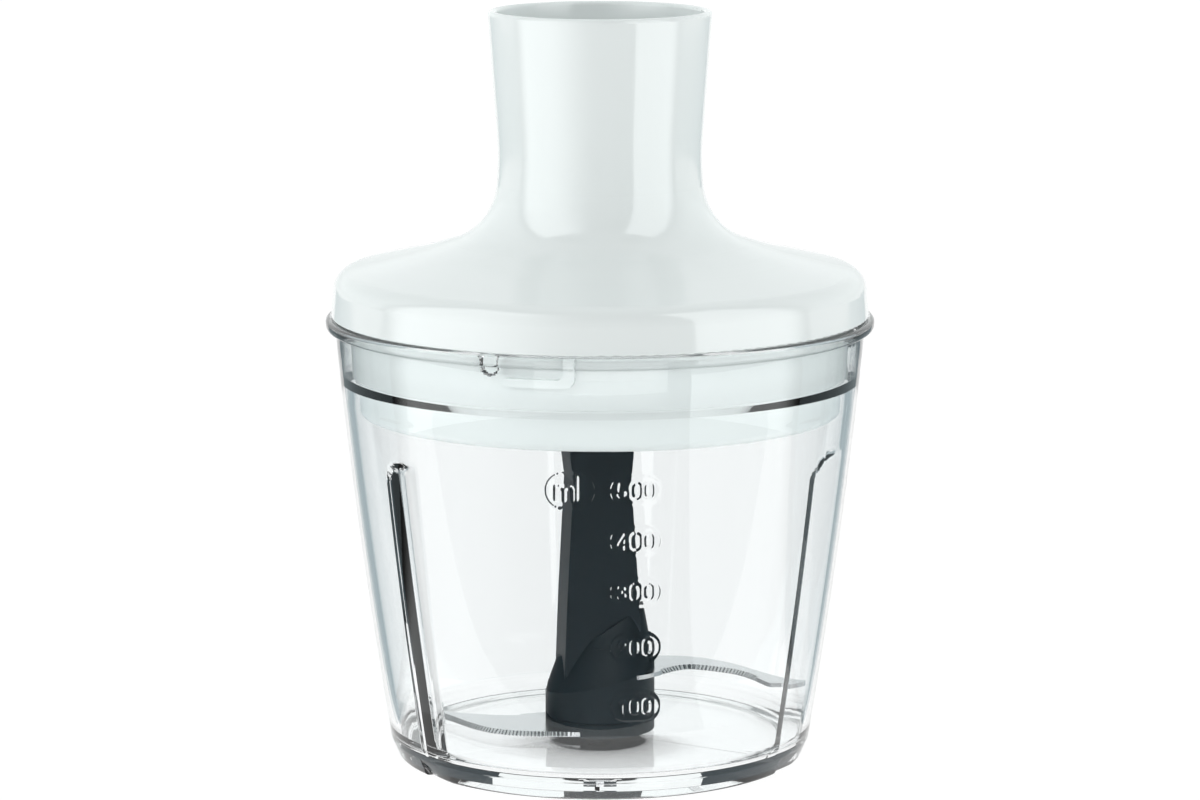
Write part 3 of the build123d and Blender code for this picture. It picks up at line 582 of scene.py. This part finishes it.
def flat_loops(node):
    """Closed outlines of the top face of a flat CAD part, longest first, and its bottom and top."""
    points = [node.matrix_world @ vertex.co / MM for vertex in node.data.vertices]
    top = max(point.z for point in points)
    bottom = min(point.z for point in points)
    follow = top_edges(node.data, points, top)
    loops = []
    while any(follow.values()):
        start = next(point for point, after in follow.items() if after)
        loop = [start]
        while follow.get(loop[-1]):
            following = follow[loop[-1]].pop()
            if following == start:
                break
            loop.append(following)
        loops.append([Vector(point) for point in loop])
    return sorted(loops, key=len, reverse=True), bottom, top


def add_point(points, place, height):
    """Adds a point, given in millimetres, and returns its number."""
    points.append((place.x * MM, place.y * MM, height * MM))
    return len(points) - 1


def ground_side(points, outer, bottom, top):
    """Adds the rings of points along the bottom, the cutting edge and the top of the outer side."""
    tip = max(outer, key=lambda point: point.length)
    widest, sway = BEVEL_SWAY
    travelled = 0.0
    rings = []
    for index, point in enumerate(outer):
        travelled += (point - outer[index - 1]).length
        ahead = (outer[(index + NEIGHBOURS) % len(outer)] - outer[index - NEIGHBOURS]).normalized()
        inward = Vector((-ahead.y, ahead.x))
        on_cutting_side = tip.x * point.y - tip.y * point.x > 0
        begin = slope_step(point.length - BEVEL_ROOT, BEVEL_FADE)
        end = slope_step((point - tip).length - BEVEL_END, BEVEL_FADE)
        share = float(begin * end) if on_cutting_side else 0.0
        tooth = abs(math.sin(math.pi * travelled / TOOTH_PITCH))
        edge = point + inward * TOOTH_DEPTH * share * (1 - tooth)
        ridge = point + inward * BEVEL_WIDTH * share * (widest - sway * tooth)
        low = add_point(points, edge, bottom)
        if share > LEAST_BEVEL:
            height = top + (bottom + EDGE_HEIGHT - top) * min(1.0, EDGE_ONSET * share)
            middle = add_point(points, edge, height)
            high = add_point(points, ridge, top)
        else:
            high = add_point(points, ridge, top)
            middle = high
        rings.append((low, middle, high))
    return [list(ring) for ring in zip(*rings)]


def side_faces(low, middle, high):
    """Faces between the three rings of the outer side."""
    faces = []
    for first in range(len(low)):
        second = (first + 1) % len(low)
        faces.append((low[first], low[second], middle[second], middle[first]))
        bevel = dict.fromkeys((middle[first], middle[second], high[second], high[first]))
        if len(bevel) > 2:
            faces.append(tuple(bevel))
    return faces


def add_hole(points, faces, loop, bottom, top):
    """Adds the wall of a hole and returns the point numbers along its bottom and its top."""
    pairs = [(add_point(points, point, bottom), add_point(points, point, top)) for point in loop]
    for (low, high), (low_next, high_next) in zip(pairs, pairs[1:] + pairs[:1]):
        faces.append((low, low_next, high_next, high))
    return [list(ring) for ring in zip(*pairs)]


def cap_faces(points, rings, upward):
    """Triangles between an outline and its holes, all facing up or all facing down."""
    numbers = [number for ring in rings for number in ring]
    faces = []
    for triangle in tessellate_polygon([[Vector(points[number]) for number in ring] for ring in rings]):
        corners = [numbers[index] for index in triangle]
        a, b, c = (Vector(points[number]) for number in corners)
        faces_down = (b - a).cross(c - a).z < 0
        if faces_down == upward:
            corners.reverse()
        faces.append(tuple(corners))
    return faces


def blade(name):
    """Blade with a ground, finely toothed bevel along its cutting side, on the CAD blade's outline."""
    loops, bottom, top = flat_loops(frame["nodes"][name])
    outer = subdivide(loops[0] + [loops[0][0]], OUTLINE_SPACING)[:-1]
    points = []
    low, middle, high = ground_side(points, outer, bottom, top)
    faces = side_faces(low, middle, high)
    holes = [add_hole(points, faces, loop, bottom, top) for loop in loops[1:]]
    faces += cap_faces(points, [high] + [ring for _, ring in holes], upward=True)
    faces += cap_faces(points, [low] + [ring for ring, _ in holes], upward=False)
    mesh = bpy.data.meshes.new(name + "_ground")
    mesh.from_pydata(points, [], faces)
    smooth(mesh, BLADE_CREASE)
    piece = link(mesh, name + "_ground", "blade_steel", "blades")
    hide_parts(name)


blade("lower_blade")
blade("upper_blade")

# ---------------------------------------------------------------- studio
CAMERA_DISTANCE = 0.995
CAMERA_HEIGHT = 0.258
CAMERA_PITCH = 10.0         # degrees below the horizon
LENS = 131.4

FLOOR_SIZE = (8, 8)
FLOOR_GLOW = 0.9
SIDE_FLAG_SIZE = (0.9, 1.4)
SIDE_FLAG_PLACE = (0.30, 0.135, 0.06)
FRONT_FLAG_SIZE = (1.0, 0.86)
FRONT_FLAG_PLACE = (0, -0.50, 0.004)
WEDGE_START = 0.057
WEDGE_REACH = 0.9
WEDGE_ANGLE = 22.0          # from straight back
WEDGE_HEIGHT = 0.003
FILL_SIZE = (4.0, 2.4)
FILLS = (                   # name, radiance, place, and the rays that don't see it
    ("fill_card", 0.8, (0, -1.7, 1.2), ("glossy",)),
    ("inner_fill_card", 1.5, (0, -1.69, 1.2), ("glossy", "diffuse")),
)
SKY_SIZE = (4.0, 1.6)
SKY_PLACE = (0, 0.6, 1.0)
SKY_GLOW = 1.2

STUDIO_TINT = (0.97, 1.0, 1.0, 1)
BACK_GLOW = 1.0
FRONT_GLOW = 0.1
SIDE_FADE = (60, 110)       # azimuths between which the front's glow becomes the back's
TOP_GLOW = 0.5
TOP_FADE = (30, 60)         # elevations between which the glow from above sets in
PANELS = (                  # azimuths where each panel begins, is full, starts to fade and ends; radiance
    (35.5, 36.5, 76, 90, 2.5),
    (-2, -55, -80, -95, 2.8),
)
PANEL_FOOT = (-6, 0)        # elevations between which the panels set in
PANEL_HEAD = (26, 36)       # and between which they end
TABLE_PANELS = (            # the panels as they show on the table
    (35.5, 36.5, 80, 90, 1.2),
    (-16, -60, -85, -95, 1.3),
)
BAND_RADIUS = 0.27
BAND_HEIGHT = 0.6
RING_RADIUS = 0.066
RING_HEIGHT = 0.006
RING_AZIMUTHS = range(-95, 91, 5)

camera = bpy.data.objects.new("camera", bpy.data.cameras.new("camera"))
camera.location = (0, -CAMERA_DISTANCE, CAMERA_HEIGHT)
camera.rotation_euler = (math.radians(90 - CAMERA_PITCH), 0, 0)
camera.data.lens = LENS
camera.data.sensor_width = 36
camera.data.clip_start = 0.05
bpy.context.scene.collection.objects.link(camera)
bpy.context.scene.camera = camera
bpy.context.scene.view_settings.view_transform = "Standard"
# without this filter, the light that the white lid sends through the clear wall keeps its strength
bpy.context.scene.cycles.blur_glossy = 0.0


class Nodes:
    """Short names for the math nodes of one tree."""

    def __init__(self, tree):
        self.tree = tree

    def put(self, socket, value):
        """Sets a socket to a number or links it to another socket."""
        if isinstance(value, (int, float)):
            socket.default_value = value
        else:
            self.tree.links.new(value, socket)

    def math(self, operation, first, second=0.0):
        """Result of one math node."""
        node = self.tree.nodes.new("ShaderNodeMath")
        node.operation = operation
        self.put(node.inputs[0], first)
        self.put(node.inputs[1], second)
        return node.outputs[0]

    def ramp(self, value, start, end, low=0.0, high=1.0):
        """Smooth change from low to high as the value goes from start to end."""
        node = self.tree.nodes.new("ShaderNodeMapRange")
        node.interpolation_type = "SMOOTHSTEP"
        self.put(node.inputs["Value"], value)
        for socket, number in (("From Min", start), ("From Max", end), ("To Min", low), ("To Max", high)):
            node.inputs[socket].default_value = number
        return node.outputs["Result"]

    def coordinates(self, output):
        """The three parts of one output of the texture coordinate node."""
        source = self.tree.nodes.new("ShaderNodeTexCoord")
        split = self.tree.nodes.new("ShaderNodeSeparateXYZ")
        self.tree.links.new(source.outputs[output], split.inputs[0])
        return split.outputs

    def azimuth(self, x, y):
        """Azimuth in degrees of a direction."""
        return self.math("DEGREES", self.math("ARCTAN2", x, self.math("MULTIPLY", y, -1.0)))


def glowing(name, color, strength, base=(0, 0, 0), roughness=1.0):
    """A material without shine that gives light of its own."""
    material = principled(name, base, roughness, Specular_IOR_Level=0.0)
    shader = shader_of(material)
    shader.inputs["Emission Color"].default_value = color
    shader.inputs["Emission Strength"].default_value = strength
    return material


def card_material(name, glow, tint=STUDIO_TINT):
    """Card that light from the object's matt surfaces passes, so it shows only in reflections and lenses."""
    material = glowing(name, tint, glow)
    tree = material.node_tree
    path = tree.nodes.new("ShaderNodeLightPath")
    clear = tree.nodes.new("ShaderNodeBsdfTransparent")
    mix = tree.nodes.new("ShaderNodeMixShader")
    tree.links.new(path.outputs["Diffuse Depth"], mix.inputs["Fac"])
    tree.links.new(shader_of(material).outputs[0], mix.inputs[1])
    tree.links.new(clear.outputs[0], mix.inputs[2])
    tree.links.new(mix.outputs[0], tree.nodes["Material Output"].inputs["Surface"])
    return material


def stage_piece(name, points, faces, material):
    """A piece of the studio, which isn't part of the object."""
    mesh = bpy.data.meshes.new(name)
    mesh.from_pydata(points, [], faces)
    mesh.materials.append(material)
    piece = bpy.data.objects.new(name, mesh)
    bpy.context.scene.collection.objects.link(piece)
    return piece


def polygon(name, corners, material):
    """A flat polygon in its own XY plane."""
    return stage_piece(name, [(x, y, 0) for x, y in corners], [range(len(corners))], material)


def rectangle(name, size, material):
    """A flat rectangle round its own origin."""
    w, h = size[0] / 2, size[1] / 2
    return polygon(name, [(-w, -h), (w, -h), (w, h), (-w, h)], material)


def hide(piece, *kinds):
    """Makes a piece of the studio invisible to some kinds of rays."""
    for kind in kinds:
        setattr(piece, "visible_" + kind, False)


def place(piece, location, tilt=(0, 0, 0)):
    """Puts a card where it belongs for the main view; it then goes round the object with the camera."""
    piece.parent = camera
    piece.matrix_parent_inverse = Matrix.LocRotScale(camera.location, camera.rotation_euler, None).inverted()
    piece.location = location
    piece.rotation_euler = [math.radians(angle) for angle in tilt]


def panel_pattern(nodes, azimuth, panels):
    """Radiance of the front panels as a function of the azimuth."""
    total = None
    for near, full, end, far, radiance in panels:
        inner = nodes.ramp(azimuth, near, full) if full > near else nodes.ramp(azimuth, full, near, 1.0, 0.0)
        outer = nodes.ramp(azimuth, end, far, 1.0, 0.0) if far > end else nodes.ramp(azimuth, far, end)
        panel = nodes.math("MULTIPLY", nodes.math("MULTIPLY", inner, outer), radiance)
        total = panel if total is None else nodes.math("ADD", total, panel)
    return total


def studio_world():
    """Surroundings: bright behind and above, dim in front, with a bright panel at each front corner."""
    world = bpy.data.worlds.new("studio")
    world.use_nodes = True
    tree = world.node_tree
    nodes = Nodes(tree)
    background = tree.nodes["Background"]
    background.inputs["Color"].default_value = STUDIO_TINT
    x, y, z = nodes.coordinates("Generated")
    azimuth = nodes.azimuth(x, y)
    elevation = nodes.math("DEGREES", nodes.math("ARCSINE", z))
    total = nodes.ramp(nodes.math("ABSOLUTE", azimuth), *SIDE_FADE, FRONT_GLOW, BACK_GLOW)
    total = nodes.math("MAXIMUM", total, nodes.ramp(elevation, *TOP_FADE, 0.0, TOP_GLOW))
    head = nodes.ramp(elevation, *PANEL_HEAD, 1.0, 0.0)
    span = nodes.math("MULTIPLY", nodes.ramp(elevation, *PANEL_FOOT), head)
    panels = nodes.math("MULTIPLY", panel_pattern(nodes, azimuth, PANELS), span)
    tree.links.new(nodes.math("ADD", total, panels), background.inputs["Strength"])
    bpy.context.scene.world = world


def reflected(name, low, high, panels):
    """Piece of studio round the front of the object that shows the panels in reflections only.

    It runs from one (radius, height) to another, as a band or as a ring on the table.
    """
    material = glowing(name, STUDIO_TINT, 1.0)
    nodes = Nodes(material.node_tree)
    azimuth = nodes.azimuth(*nodes.coordinates("Object")[:2])
    glow = nodes.math("ADD", panel_pattern(nodes, azimuth, panels), FRONT_GLOW)
    nodes.put(shader_of(material).inputs["Emission Strength"], glow)
    turns = [math.radians(value) for value in RING_AZIMUTHS]
    points = []
    for radius, z in (low, high):
        points += [(radius * math.sin(turn), -radius * math.cos(turn), z) for turn in turns]
    count = len(turns)
    faces = [(i, i + 1, count + i + 1, count + i) for i in range(count - 1)]
    piece = stage_piece(name, points, faces, material)
    place(piece, (0, 0, 0))
    hide(piece, "camera", "diffuse", "transmission", "shadow")


# white table that glows a little, so that shadows stay faint
rectangle("floor", FLOOR_SIZE, glowing("pale_floor", (1, 1, 1, 1), FLOOR_GLOW, (0.15, 0.15, 0.15), 0.6))

black = card_material("flag_black", 0.04, (0.45, 0.8, 1.0, 1))
gray = card_material("flag_gray", 0.5, (0.8, 0.95, 1.0, 1))

# black cards beside the object draw the dark lines in the clear plastic, and one lying in front of it
# keeps the bowl's face clear of reflections
for side, name in ((-1, "flag_left"), (1, "flag_right")):
    card = rectangle(name, SIDE_FLAG_SIZE, black)
    aside, back, up = SIDE_FLAG_PLACE
    place(card, (side * aside, back, up), (0, 90, 0))
    hide(card, "camera", "diffuse", "glossy", "shadow")
card = rectangle("flag_front", FRONT_FLAG_SIZE, black)
place(card, FRONT_FLAG_PLACE)
hide(card, "camera", "diffuse", "shadow")

# gray wedges on the floor behind the object, outside the straight line of sight: they draw the fine
# dark line inside the outer edge of the clear wall
for side, name in ((-1, "wedge_left"), (1, "wedge_right")):
    depth = (WEDGE_REACH - WEDGE_START) / math.tan(math.radians(WEDGE_ANGLE))
    corners = [(side * WEDGE_START, 0), (side * WEDGE_REACH, 0), (side * WEDGE_REACH, depth)]
    wedge = polygon(name, corners, gray)
    place(wedge, (0, 0, WEDGE_HEIGHT))
    hide(wedge, "camera", "diffuse", "shadow")

# big soft lights on the camera's side that show in no reflection; the second one reaches only what
# stands behind the clear wall
for name, glow, location, unseen_by in FILLS:
    fill = rectangle(name, FILL_SIZE, glowing(name, (1, 1, 1, 1), glow))
    place(fill, location, (90, 0, 0))
    hide(fill, "camera", "shadow", *unseen_by)

studio_world()
reflected("panel_band", (BAND_RADIUS, RING_HEIGHT), (BAND_RADIUS, BAND_HEIGHT), PANELS)
reflected("table_ring", (RING_RADIUS, RING_HEIGHT), (BAND_RADIUS, RING_HEIGHT), TABLE_PANELS)

# bright card behind and above the object, seen only in reflections
sky = rectangle("sky_card", SKY_SIZE, card_material("sky_card", SKY_GLOW))
place(sky, SKY_PLACE, (90, 0, 0))
hide(sky, "camera", "diffuse", "transmission", "shadow")
